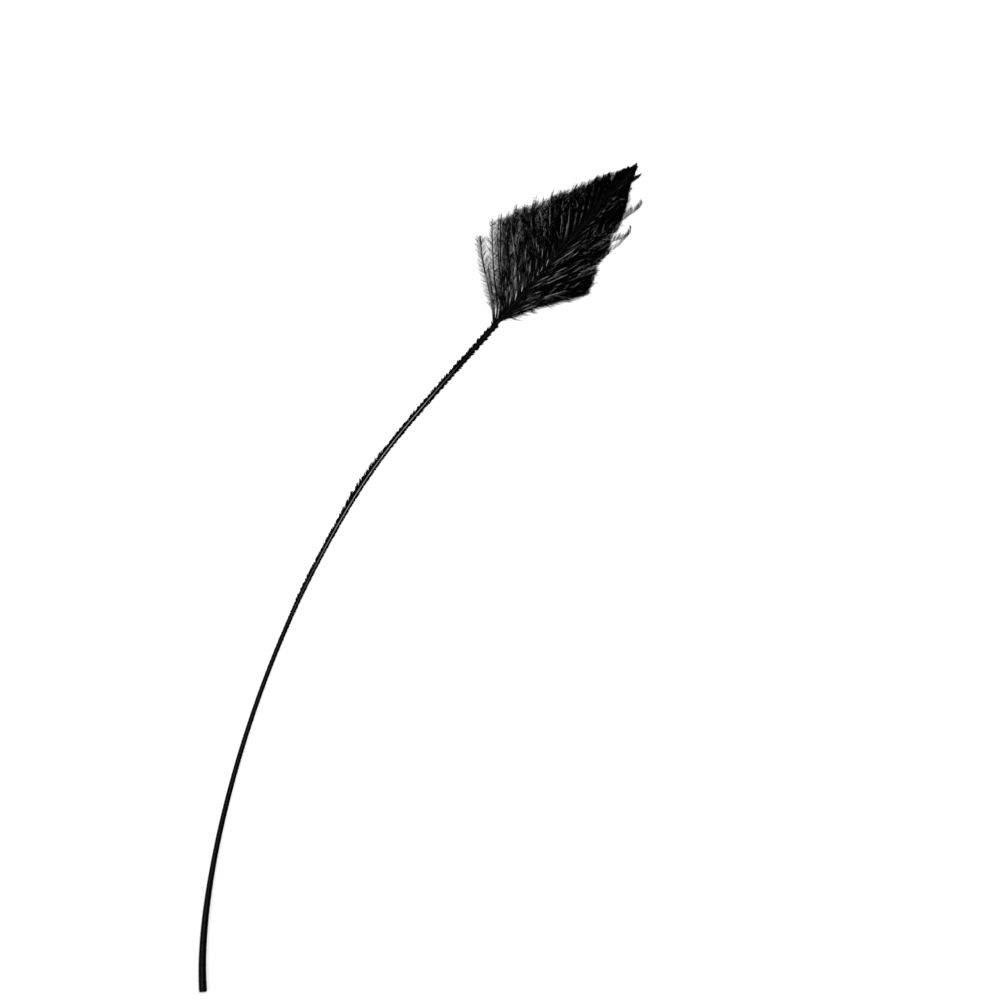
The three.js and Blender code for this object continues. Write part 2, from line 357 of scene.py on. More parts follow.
def add_piece(name, shape, material, tone):
    vertices, corners, starts = shape
    place = np.append(cut_end_of_node(), 0.0)
    mesh = bpy.data.meshes.new(name)
    mesh.vertices.add(len(vertices))
    mesh.vertices.foreach_set("co", ((vertices + place) * MM).astype(np.float32).ravel())
    mesh.loops.add(len(corners))
    mesh.loops.foreach_set("vertex_index", corners.astype(np.int32))
    mesh.polygons.add(len(starts))
    mesh.polygons.foreach_set("loop_start", starts.astype(np.int32))
    mesh.update(calc_edges=True)
    mesh.shade_smooth()
    # The tone attribute says where the colour is painted lighter in place of highlights and sheen.
    painted_highlight = mesh.attributes.new("tone", "FLOAT", "POINT")
    painted_highlight.data.foreach_set("value", tone.astype(np.float32).ravel())
    mesh.materials.append(material)
    piece = bpy.data.objects.new(name, mesh)
    bpy.context.scene.collection.objects.link(piece)
    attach(piece, BODY)
    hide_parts(NODE)
    return piece


# ---------------------------------------------------------------- barbs


WALK = 0.25  # stride, in millimetres, with which every barb is followed
WALK_STEPS = 280
WALKED = np.arange(WALK_STEPS) * WALK
ROUNDING = 17  # strides over which a listed route is smoothed


def route_through(points):
    """A walk on straight runs through listed points, rounded by smoothing, and its length."""
    points = np.array(points)
    points = np.vstack([points, 2 * points[-1] - points[-2]])
    reach = np.concatenate([[0.0], np.cumsum(np.linalg.norm(np.diff(points, axis=0), axis=1))])
    weights = np.hanning(ROUNDING) / np.hanning(ROUNDING).sum()
    route = np.zeros((WALK_STEPS, 3))
    for axis in (0, 1):
        padded = np.pad(np.interp(WALKED, reach, points[:, axis]), ROUNDING // 2, mode="edge")
        route[:, axis] = np.convolve(padded, weights, mode="valid")
    return route, reach[-2]


class Barbs:
    """The barbs of one side: their routes stride by stride, and how long each one is after the shears."""

    FIRST_PLACE = 0.008
    PLACES_SPAN = 0.98
    ROOT_CLING = (0.05, 0.5)  # least and greatest pull of a root to the middle of its clump
    CLUMP_CLING = 0.6
    CLING_LENGTH = 12.0
    SWAY = 3.0  # degrees
    SWAY_KNOTS = 9
    FULL_SWAY_SPLAY = 12.0  # splay at the root from which the sway is full
    FULL_SWAY_LENGTH = 9.0
    FULL_SWAY_PLACE = 0.1
    UNCUT_STRIDES = 4  # at the root, where the shears never came
    MISSED_BY_CLUMP = (-0.2, 0.45)  # mean and spread
    MISSED_BY_BARB = (0.0, 0.4)
    MOST_MISSED = 0.5
    WISP_LENGTH = (0.6, 2.8)
    WISP_SHARE = 0.3
    INNER_PLAY = 0.6  # unevenness of the inner side's ends as a part of the bow side's
    CURL_LENGTH = 7.0
    FULL_ARCH_LENGTH = 24.0  # of the shortest barb whose arch is of full height
    ARCH_REACH = 0.92  # how much of a half wave the arch takes
    RIPPLE = 0.12
    RIPPLE_KNOTS = 12
    LOWEST = 0.22

    def __init__(self, shaft, side, splay, count, rng, crowd):
        self.side = side
        spread = ((np.arange(count) + rng.uniform(0.25, 0.75, count)) / count) ** crowd
        self.places = self.FIRST_PLACE + self.PLACES_SPAN * spread
        self.gather_roots(rng)
        along = VANE_START + self.places * (1 - VANE_START)
        self.roots = shaft.point(along)
        self.routes = self.grow(shaft.heading(along), splay, rng)
        self.cling()
        self.shear(rng)
        self.curl(shaft.heading(along), rng)
        self.free = np.zeros(count, bool)

    def gather_roots(self, rng):
        """Barbs stand in clumps of 2 to 4, whose roots are drawn together so that slits open between them."""
        count = len(self.places)
        firsts = np.concatenate([[0], np.cumsum(rng.integers(2, 5, count))])
        self.firsts = firsts[firsts < count]
        self.sizes = np.diff(np.append(self.firsts, count))
        self.clumps = np.repeat(np.arange(len(self.firsts)), self.sizes)
        middle = np.add.reduceat(self.places, self.firsts) / self.sizes
        pull = rng.uniform(*self.ROOT_CLING, len(self.firsts))[self.clumps]
        self.places += pull * (middle[self.clumps] - self.places)

    def grow(self, headings, splay_table, rng):
        """Walks each barb: its splay is a parabola through root, middle and end, plus a soft random sway.

        The sway is small on the first barbs, near the root, and where the splay itself is small.
        """
        count = len(headings)
        part = np.minimum(1.0, WALKED / BARB_LENGTH)[None]
        root, middle, end = (column[:, None] for column in read_columns(splay_table, self.places))
        bend = 2 * (root + end - 2 * middle)
        splay = root + (end - root - bend) * part + bend * part**2
        sway = waves(rng, count, WALK_STEPS, self.SWAY_KNOTS, self.SWAY) + rng.normal(0.0, 1.0, (count, 1))
        from_root = smooth_step(0.15 + part * BARB_LENGTH / self.FULL_SWAY_LENGTH)
        sway *= np.minimum(1.0, root / self.FULL_SWAY_SPLAY) * from_root
        sway *= np.minimum(1.0, 0.3 + self.places / self.FULL_SWAY_PLACE)[:, None]
        angle = headings[:, None] + self.side * np.radians(splay + sway)
        strides = WALK * np.stack([np.cos(angle), np.sin(angle)], axis=-1)
        plan = np.cumsum(strides, axis=1) - strides[:, :1] + self.roots[:, None, :2]
        return np.concatenate([plan, np.zeros((count, WALK_STEPS, 1))], axis=-1)

    def cling(self):
        """Past its root each barb is drawn part of the way to the mean route of its clump."""
        middle = np.add.reduceat(self.routes, self.firsts, axis=0) / self.sizes[:, None, None]
        pull = self.CLUMP_CLING * smooth_step(WALKED / self.CLING_LENGTH)[None, :, None]
        self.routes += pull * (middle[self.clumps] - self.routes)

    def shear(self, rng):
        """A barb ends where it leaves the trimmed outline, give or take what the shears missed of its clump.

        Some end in a wisp that stands out further.
        """
        count = len(self.routes)
        outside = ~inside_trim(self.routes)
        outside[:, : self.UNCUT_STRIDES] = False
        strides = np.where(outside.any(axis=1), outside.argmax(axis=1), WALK_STEPS - 1)
        play = read_curve(SHEAR_PLAY, self.places) * (1.0 if self.side > 0 else self.INNER_PLAY)
        by_clump = rng.normal(*self.MISSED_BY_CLUMP, len(self.firsts))[self.clumps]
        by_barb = rng.normal(*self.MISSED_BY_BARB, count)
        self.missed = play * np.minimum(by_clump + by_barb, self.MOST_MISSED)
        wisp = play * rng.uniform(*self.WISP_LENGTH, count) * (rng.random(count) < self.WISP_SHARE)
        self.lengths = np.clip(strides * WALK + self.missed + wisp, 1.0, (WALK_STEPS - 2) * WALK)

    def curl(self, headings, rng):
        """Bow side ends lean to the feather's tip, a clump together: a shift that grows as a square."""
        past = np.maximum(0.0, WALKED - self.lengths[:, None] + self.CURL_LENGTH) / self.CURL_LENGTH
        reach = read_curve(CURL_REACH, self.places) * (self.side > 0)
        reach *= rng.uniform(0.1, 1.6, len(self.firsts))[self.clumps]
        ahead = np.stack([np.cos(headings), np.sin(headings)], axis=-1)
        self.routes[..., :2] += (reach[:, None] * past**2)[..., None] * ahead[:, None]

    def add_by_hand(self, points, root_height, place, free):
        """Adds a barb through listed points; the barbules of a free one were left alone by the shears."""
        route, length = route_through(points)
        self.routes = np.append(self.routes, route[None], axis=0)
        self.roots = np.append(self.roots, [[*points[0], root_height]], axis=0)
        self.lengths = np.append(self.lengths, length)
        self.places = np.append(self.places, place)
        self.missed = np.append(self.missed, 0.0)
        self.free = np.append(self.free, free)
        self.clumps = np.append(self.clumps, self.clumps[-1] + 1)

    def lift(self, rng, arch, end_height):
        """Height: from the shaft down to the floor, plus an arch of a sine and a clump's own offset."""
        count = len(self.lengths)
        part = np.clip(WALKED[None] / self.lengths[:, None], 0.0, 1.3)
        size = np.minimum(1.0, self.lengths / self.FULL_ARCH_LENGTH)[:, None]
        by_clump = rng.normal(0.0, 0.35, (self.clumps.max() + 1, 1))[self.clumps]
        own = by_clump + rng.normal(0.0, 0.2, (count, 1))
        fall = self.roots[:, 2:] + (end_height - self.roots[:, 2:]) * part**1.5
        rise = size * (arch + own) * np.sin(np.pi * np.minimum(part, 1.0) * self.ARCH_REACH)
        ripple = waves(rng, count, WALK_STEPS, self.RIPPLE_KNOTS, self.RIPPLE) * part
        self.routes[..., 2] = np.maximum(fall + rise + ripple, self.LOWEST)
        self.directions = np.gradient(self.routes, axis=1)
        self.directions /= np.maximum(np.linalg.norm(self.directions, axis=-1, keepdims=True), 1e-9)


def grown_barbs(shaft, settings, side):
    """The barbs of the bow side (side 1) or of the inner side (side -1), the same at every call."""
    rng = np.random.default_rng(11 if side > 0 else 23)
    if side > 0:
        barbs = Barbs(shaft, 1, BOW_SIDE_SPLAY, settings.bow_side_barbs, rng, crowd=1.15)
        for order, points in enumerate(FIRST_BARBS):
            barbs.add_by_hand(points, FIRST_ROOT_HEIGHT, FIRST_PITCH * order, free=False)
    else:
        barbs = Barbs(shaft, -1, INNER_SIDE_SPLAY, settings.inner_side_barbs, rng, crowd=1.35)
        for points in STRAY_BARBS:
            barbs.add_by_hand(points, STRAY_ROOT_HEIGHT, STRAY_PLACE, free=True)
    barbs.lift(rng, arch=1.5, end_height=0.5)
    return barbs


def sheen_of(barbs):
    """How much painted sheen each barb carries, lighter grey in place of highlights: most at the foot of the
    bow side, least at the tip.
    """
    return read_curve(BOW_SIDE_SHEEN if barbs.side > 0 else INNER_SIDE_SHEEN, barbs.places)


def barb_shape(barbs, settings, rng):
    """Each barb is a rod, deeper than wide, that thins towards its end as a whole barb would.

    Its tone is a painted highlight, lighter colour in place of glints: a random curve along the barb that is
    dark more often than light.
    """
    rings = 44
    sides = 6
    depth = 1.15  # as a part of the width
    free_stoutness = 1.2
    count = len(barbs.lengths)
    part = np.linspace(0.0, 1.0, rings)
    walked = part[None] * barbs.lengths[:, None]
    centres = gather(barbs.routes, np.arange(count)[:, None], walked / WALK)
    stout = read_curve(BARB_STOUTNESS, barbs.places)[:, None]
    thinning = read_curve(BARB_THINNING, barbs.places)[:, None]
    thinned = 1 - thinning * np.minimum(1.0, walked / BARB_LENGTH) ** 0.6
    end_taper = np.minimum(1.0, (1.02 - part[None]) * 14)
    thick = settings.barb_width / MM / 2 * stout * thinned
    thick *= end_taper * np.where(barbs.free, free_stoutness, 1.0)[:, None]
    half_heights = np.minimum(thick * depth, centres[..., 2] - FLOOR_GAP)
    shape = fibres(centres, thick, half_heights, sides)
    bright = rng.normal(-0.25, 0.4, (count, 1)) + waves(rng, count, rings, 16, 0.65)
    from_root = smooth_step((walked - 3.0) / 8.0)
    # Painted highlight: glints along the barb past its first millimetres, more where the painted sheen is
    # high.
    tone = np.clip(1.5 * bright, 0.0, 1.0) * from_root * sheen_of(barbs)[:, None] ** 0.5
    return shape, np.concatenate([np.repeat(tone[:, :-1], sides, axis=1), tone[:, -1:]], axis=1)


# ---------------------------------------------------------------- barbules


def growth_of(barbs, rng):
    """One row per barb: bare root, share left, length, outer length, crowding and spread of its barbules."""
    tables = (BOW_SIDE_BARBULES, FIRST_BARBULES) if barbs.side > 0 else (INNER_SIDE_BARBULES, STRAY_BARBULES)
    by_place, by_hand = tables
    growth = np.stack(read_columns(by_place, barbs.places), axis=-1)
    growth[:, 0] *= rng.uniform(0.85, 1.1, len(growth))
    growth[-len(by_hand):] = by_hand
    return growth


class Barbules:
    """One layer of the fine fibres that leave both edges of every barb and sweep towards its end.

    Each array has one entry for each barbule, and barb says which barb it stands on.
    """

    SEGMENTS = 3
    SIDES = 3
    TAPER = np.array([1.0, 0.9, 0.62, 0.0])
    LOWEST = 0.07
    FREE_LEFT_SHARE = 0.85  # of a free barb's barbules, moved to its left edge
    FREE_RIGHT_LENGTH = 0.3
    FREE_END_LENGTH = 10.0  # over which a free barb's barbules get shorter
    BARB_PHASE = 7.3  # how many tufts one barb is ahead of the last one
    TUFT_CLING = 0.88  # how far a barbule leans to the middle of its tuft
    TUFT_LEAN = (0.0, 8.0)  # mean and spread in degrees, as are the next three
    TUFT_CLIMB = (-9.0, 12.0)
    WIDE = (40.0, 4.0)
    NARROW = (11.0, 5.0)
    OWN_LENGTH = (0.62, 1.08)
    OUTER_LENGTH = (0.4, 1.7)
    GROWTH_RUN = 4.5  # along a barb, over which their length would rise from none to all
    HAIR_LENGTH = 2.2
    HAIR_SPREAD = 1.5
    INNER_FRINGE = 0.65  # as a part of the bow side's
    LEAST_LEFT = 0.2  # of what the shears shorten
    STAYS_OUTSIDE = 0.3  # share left of those that start past the shears' outline

    def __init__(self, barbs, growth, settings, rng, spacing):
        """Barbules stand at even spacing, each shifted at random, and nearer the root where they crowd."""
        self.barbs = barbs
        self.growth = growth
        bare, kept, _, _, crowd, _ = growth.T
        spans = np.maximum(barbs.lengths - bare, 0.0)
        counts = (spans / spacing * kept).astype(int)
        self.barb = np.repeat(np.arange(len(counts)), counts)
        self.count = len(self.barb)
        order = np.arange(self.count) - np.repeat(np.cumsum(counts) - counts, counts)
        self.part = (order + rng.uniform(0.0, 1.0, self.count)) / np.maximum(counts[self.barb], 1)
        self.walked = bare[self.barb] + spans[self.barb] * self.part ** crowd[self.barb]
        self.root = gather(barbs.routes, self.barb, self.walked / WALK)
        self.ahead = gather(barbs.directions, self.barb, self.walked / WALK)
        self.edge = rng.choice((-1.0, 1.0), self.count)
        self.free = barbs.free[self.barb]
        self.edge[self.free & (rng.random(self.count) < self.FREE_LEFT_SHARE)] = 1.0
        self.gather_tufts(rng)
        self.grow(settings, rng)
        self.sweep(rng)
        self.shear(rng)

    def gather_tufts(self, rng):
        """Each stretch of a barb's edge is a tuft, with a lean, a climb and a tone of its own."""
        size = read_curve(TUFT_SIZES, self.barbs.places)[self.barb]
        tuft = np.floor(self.walked / size + self.BARB_PHASE * self.barb).astype(int)
        upper = (self.edge > 0).astype(int)
        tufts = (tuft.max() + 1, 2)
        self.tuft_lean = rng.normal(*self.TUFT_LEAN, tufts)[tuft, upper]
        self.tuft_climb = rng.normal(*self.TUFT_CLIMB, tufts)[tuft, upper]
        self.tuft_tone = rng.random(tufts)[tuft, upper]
        self.to_tuft = (tuft + 0.5 - self.BARB_PHASE * self.barb) * size - self.walked

    def grow(self, settings, rng):
        """Length: that of the barb's barbules, shorter near its root and, on a free barb, near its end.

        On a free barb those of the right edge are short. On the vane's outer edge they are cut down to their
        own part, but for some long hairs, more of them towards the barb's end.
        """
        bare, _, length, outward, _, _ = (column[self.barb] for column in self.growth.T)
        reach = settings.barbule_length / MM * length * rng.uniform(*self.OWN_LENGTH, self.count)
        reach *= np.minimum(1.0, 0.3 + (self.walked - bare) / self.GROWTH_RUN)
        reach *= np.where(self.free & (self.edge < 0), self.FREE_RIGHT_LENGTH, 1.0)
        to_end = self.barbs.lengths[self.barb] - self.walked
        reach *= np.where(self.free, 0.4 + 0.6 * np.minimum(1.0, to_end / self.FREE_END_LENGTH), 1.0)
        outer = (self.edge == self.barbs.side) & (outward < 1)
        reach *= np.where(outer, outward * rng.uniform(*self.OUTER_LENGTH, self.count), 1.0)
        self.hairs = outer & (rng.random(self.count) < 0.1 + 0.35 * self.part)
        self.reach = reach * np.where(self.hairs, self.HAIR_LENGTH, 1.0)

    def sweep(self, rng):
        """Strides of length 1: the angle to the barb eases from wide to narrow, and the climb changes sign.

        Each is then drawn towards the middle of its tuft.
        """
        middles = (np.arange(self.SEGMENTS) + 0.5) / self.SEGMENTS
        wide = rng.normal(*self.WIDE, self.count) + self.tuft_lean
        narrow = rng.normal(*self.NARROW, self.count) + self.tuft_lean
        own = rng.normal(0.0, 4.0, (self.count, self.SEGMENTS))
        angle = wide[:, None] * (1 - middles) + narrow[:, None] * middles + own
        angle *= (self.growth[self.barb, 5] * np.where(self.hairs, self.HAIR_SPREAD, 1.0))[:, None]
        heading = np.arctan2(self.ahead[:, 1], self.ahead[:, 0])
        turn = heading[:, None] + self.edge[:, None] * np.radians(angle)
        climb = np.radians(self.tuft_climb + rng.normal(0.0, 6.0, self.count))[:, None]
        climb = climb * (1.1 - 1.3 * middles)
        level = np.cos(climb)
        self.strides = np.stack([np.cos(turn) * level, np.sin(turn) * level, np.sin(climb)], axis=-1)
        self.strides += self.ahead[:, None] * (self.TUFT_CLING * self.to_tuft / self.reach)[:, None, None]

    def shear(self, rng):
        """What reaches past the shears' outline, moved out by the fringe there, is shortened.

        Of those that start past it only a share is left.
        """
        fringe = read_curve(FRINGE_REACH, self.barbs.places)[self.barb]
        fringe *= 1.0 if self.barbs.side > 0 else self.INNER_FRINGE
        step = (self.reach / self.SEGMENTS)[:, None, None]
        ends = self.root[:, None, :2] + np.cumsum(self.strides[..., :2], axis=1) * step
        slack = self.barbs.missed[self.barb] - fringe * rng.beta(0.9, 2.4, self.count)
        ends -= self.ahead[:, None, :2] * slack[:, None, None]
        clear = np.cumprod(inside_trim(ends) | self.free[:, None], axis=1).sum(axis=1)
        ragged = rng.uniform(0.0, 0.9, self.count) * (clear < self.SEGMENTS)
        self.reach *= np.maximum(self.LEAST_LEFT, (clear + ragged) / self.SEGMENTS)
        self.inside = clear > 0

    def shape(self, settings, rng):
        """The fibres, and a tone drawn for the barb's edge and for the tuft, raised by the barb's painted
        sheen; where it is high the barbules are painted lighter in place of their highlights.
        """
        step = (self.reach / self.SEGMENTS)[:, None, None]
        path = np.cumsum(self.strides * step, axis=1)
        centres = np.concatenate([self.root[:, None], self.root[:, None] + path], axis=1)
        centres[..., 2] = np.maximum(centres[..., 2], self.LOWEST)
        fine = read_curve(BARBULE_FINENESS, self.barbs.places)[self.barb, None]
        thick = settings.barbule_width / MM / 2 * self.TAPER * fine * rng.uniform(0.7, 1.3, (self.count, 1))
        upper = (self.edge > 0).astype(int)
        strip_tone = rng.random((len(self.growth), 2))[self.barb, upper]
        sheen = sheen_of(self.barbs)[self.barb]
        # Painted sheen: the barbules' tone, lighter grey in place of highlights, rises with the barb's sheen.
        tone = np.clip(5.0 * (1.3 * strip_tone + 0.7 * self.tuft_tone - 2.02 + 0.78 * sheen), 0.0, 1.0)
        tone *= smooth_step((self.walked - 1.0) / 7.0)
        stay = self.inside | (rng.random(self.count) < self.STAYS_OUTSIDE)
        corners = self.SEGMENTS * self.SIDES + 1
        return fibres(centres[stay], thick[stay], thick[stay], self.SIDES), np.repeat(tone[stay], corners)


# ---------------------------------------------------------------- finishes


def keratin(name, dye, painted_highlight, roughness, specular, scale):
    """Dyed keratin, painted lighter in place of highlights and sheen where the shape's tone says so; a mottle
    breaks up that painted highlight and the gloss.
    """
    material = bpy.data.materials.new(name)
    material.use_nodes = True
    nodes, links = material.node_tree.nodes, material.node_tree.links
    skin = nodes["Principled BSDF"]
    skin.inputs["Specular IOR Level"].default_value = specular
    coordinates = nodes.new("ShaderNodeTexCoord")
    mottle = nodes.new("ShaderNodeTexNoise")
    mottle.inputs["Scale"].default_value = scale
    mottle.inputs["Detail"].default_value = 3.0
    tone = nodes.new("ShaderNodeAttribute")
    tone.attribute_name = "tone"
    patches = nodes.new("ShaderNodeMapRange")
    patches.inputs["From Min"].default_value = 0.35
    patches.inputs["From Max"].default_value = 0.65
    patches.inputs["To Min"].default_value = 0.5
    # How much painted highlight: the tone, broken up by the mottle.
    highlight_here = nodes.new("ShaderNodeMath")
    highlight_here.operation = "MULTIPLY"
    shade = nodes.new("ShaderNodeMix")
    shade.data_type = "RGBA"
    shade.inputs["A"].default_value = (*dye, 1.0)
    shade.inputs["B"].default_value = (*painted_highlight, 1.0)
    gloss = nodes.new("ShaderNodeMapRange")
    gloss.inputs["To Min"].default_value = roughness - 0.08
    gloss.inputs["To Max"].default_value = roughness + 0.12
    links.new(coordinates.outputs["Object"], mottle.inputs["Vector"])
    links.new(mottle.outputs["Fac"], patches.inputs["Value"])
    links.new(tone.outputs["Fac"], highlight_here.inputs[0])
    links.new(patches.outputs["Result"], highlight_here.inputs[1])
    links.new(highlight_here.outputs["Value"], shade.inputs["Factor"])
    links.new(mottle.outputs["Fac"], gloss.inputs["Value"])
    links.new(shade.outputs["Result"], skin.inputs["Base Color"])
    links.new(gloss.outputs["Result"], skin.inputs["Roughness"])
    return material


def quill_material(settings):
    # The colour of the ridge's painted highlight.
    ridge_highlight_colour = [2.0 * channel for channel in settings.highlight_colour]
    return keratin("quill_keratin", settings.dye, ridge_highlight_colour, roughness=0.22, specular=0.035, scale=900.0)


def barb_material(settings):
    # Barbs are painted lighter in place of glints, at 1.7 times the painted highlight colour.
    barb_highlight_colour = [1.7 * channel for channel in settings.highlight_colour]
    return keratin("barb_keratin", settings.dye, barb_highlight_colour, roughness=0.4, specular=0.03, scale=1500.0)


def barbule_material(settings):
    # Barbules are painted lighter in place of their highlights where their tone says so.
    painted_highlight = settings.highlight_colour
    return keratin("barbule_keratin", settings.dye, painted_highlight, roughness=0.5, specular=0.005, scale=2500.0)


# ---------------------------------------------------------------- settings


class FeatherSettings(bpy.types.PropertyGroup):
    """Sizes and colours of the feather."""

    bow_side_barbs: IntProperty(
        name="Bow side barbs", description="Barbs on the outer side", default=76, min=8
    )
    inner_side_barbs: IntProperty(
        name="Inner side barbs", description="Barbs on the inner side", default=66, min=8
    )
    barb_width: FloatProperty(
        name="Barb width", description="Width of a barb at its root", default=0.00058,
        subtype="DISTANCE", unit="LENGTH",
    )
    barbule_width: FloatProperty(
        name="Barbule width", description="Width of a barbule at its root", default=0.00011,
        subtype="DISTANCE", unit="LENGTH",
    )
    barbule_spacing: FloatProperty(
        name="Barbule spacing", description="Distance between barbules along a barb, both edges counted",
        default=0.00009, subtype="DISTANCE", unit="LENGTH", precision=6,
    )
    barbule_length: FloatProperty(
        name="Barbule length", description="Longest barbules", default=0.005,
        subtype="DISTANCE", unit="LENGTH",
    )
    stub_length: FloatProperty(
        name="Stub length", description="What stripping left of the barbs just below the vane",
        default=0.0014, subtype="DISTANCE", unit="LENGTH",
    )
    dye: FloatVectorProperty(
        name="Dye", description="Colour of the dyed feather", subtype="COLOR",
        default=(0.0003, 0.0003, 0.0003), max=1.0,
    )
    # Colour painted on the quill's ridge, the barbs and the barbules in place of their highlights and sheen.
    highlight_colour: FloatVectorProperty(
        name="Painted highlight", description="Colour painted in place of highlights", subtype="COLOR",
        default=(0.185, 0.185, 0.181), max=1.0,
    )


class StageSettings(bpy.types.PropertyGroup):
    """Floor, light and camera."""

    floor_colour: FloatVectorProperty(
        name="Floor", description="Colour of the floor", subtype="COLOR", default=(0.9, 0.9, 0.9), max=1.0
    )
    lens: FloatProperty(name="Lens", description="Focal length of the camera", default=100.0, unit="CAMERA")
    frame_width: FloatProperty(
        name="Frame width", description="Width that the camera takes in on the floor", default=0.36369,
        subtype="DISTANCE", unit="LENGTH",
    )
    key_power: FloatProperty(
        name="Key light", description="Power of the overhead light", default=14.0, unit="POWER"
    )
    sky: FloatProperty(name="Sky", description="Strength of the even light all round", default=0.12, min=0.0)


# ---------------------------------------------------------------- operators


class FEATHER_OT_shape_quill(bpy.types.Operator):
    """Shape the shaft, from its cut end to the tip of the vane"""

    bl_idname = "feather.shape_quill"
    bl_label = "Shape the quill"

    SIDES = 36
    STEPS = 600
    LAST_PLACE = 0.992
    RIM = 0.0006  # how far the cut end's rim is rounded, as a part of the shaft's length
    RIM_RINGS = [0.1, 0.5, HOLLOW_WIDTH, HOLLOW_WIDTH + 0.04, 0.97]  # out of the hollow, in the shaft's radii
    GROOVES_START = 0.12  # as a part of the shaft's length
    GROOVES_FULL = 0.32
    GROOVE_DEPTH = 0.13  # of the two beside the ridge on top, in radii
    GROOVE_AT = 34.0  # degrees off the top
    GROOVE_WIDTH = 11.0
    RIDGE_WIDTH = 9.0

    # Painted highlight along the ridge on top: how far its lighter colour is painted in, by place along the
    # shaft.
    RIDGE_HIGHLIGHT = [
        (0.0, 0.05),
        (0.1, 0.03),
        (0.4, 0.06),
        (0.46, 0.3),
        (0.52, 1.0),
        (0.66, 1.0),
        (0.69, 0.4),
        (0.72, 0.0),
    ]

    def execute(self, context):
        """Rings round the shaft: from the bottom of the hollow, over the rim, then along the outside.

        A ring is a circle with its lower part cut flat, less two grooves that each fall off as a bell curve.
        """
        settings = context.scene.feather
        shaft = Shaft()
        bottom = HOLLOW_DEPTH / shaft.length
        along = np.linspace(0.0, self.LAST_PLACE, self.STEPS)[1:]
        outside = along * (1 - self.RIM) + self.RIM
        places = np.concatenate([[bottom, bottom * 0.9, self.RIM, 0.0, 0.0], outside])
        scales = np.concatenate([self.RIM_RINGS, np.ones(len(along))])
        centre = shaft.point(places)
        heading = shaft.heading(places)
        radius = shaft.radius(places) * scales
        angle = 2 * np.pi * (np.arange(self.SIDES) + 0.5) / self.SIDES
        off_top = np.degrees(np.abs((angle - np.pi / 2 + np.pi) % (2 * np.pi) - np.pi))[None]
        run = (places - self.GROOVES_START) / (self.GROOVES_FULL - self.GROOVES_START)
        grown = smooth_step(run)[:, None] * (scales >= 1.0)[:, None]
        groove = self.GROOVE_DEPTH * grown * np.exp(-(((off_top - self.GROOVE_AT) / self.GROOVE_WIDTH) ** 2))
        reach = radius[:, None] * (1.0 - groove)
        side = reach * np.cos(angle)
        up = np.maximum(np.sin(angle), -FLAT_DEPTH) * reach
        across = np.stack([np.sin(heading), -np.cos(heading), np.zeros_like(heading)], axis=-1)
        skyward = np.array([0.0, 0.0, 1.0])
        rings = centre[:, None] + side[..., None] * across[:, None] + up[..., None] * skyward
        # Painted highlight: the ridge on top is painted lighter, falling off to either side of the top.
        painted_highlight = read_curve(self.RIDGE_HIGHLIGHT, places)[:, None] * np.exp(-((off_top / self.RIDGE_WIDTH) ** 2))
        end_tones = (0.0, 0.0)
        add_piece("quill", tube(rings), quill_material(settings), np.append(painted_highlight.ravel(), end_tones))
        return {"FINISHED"}


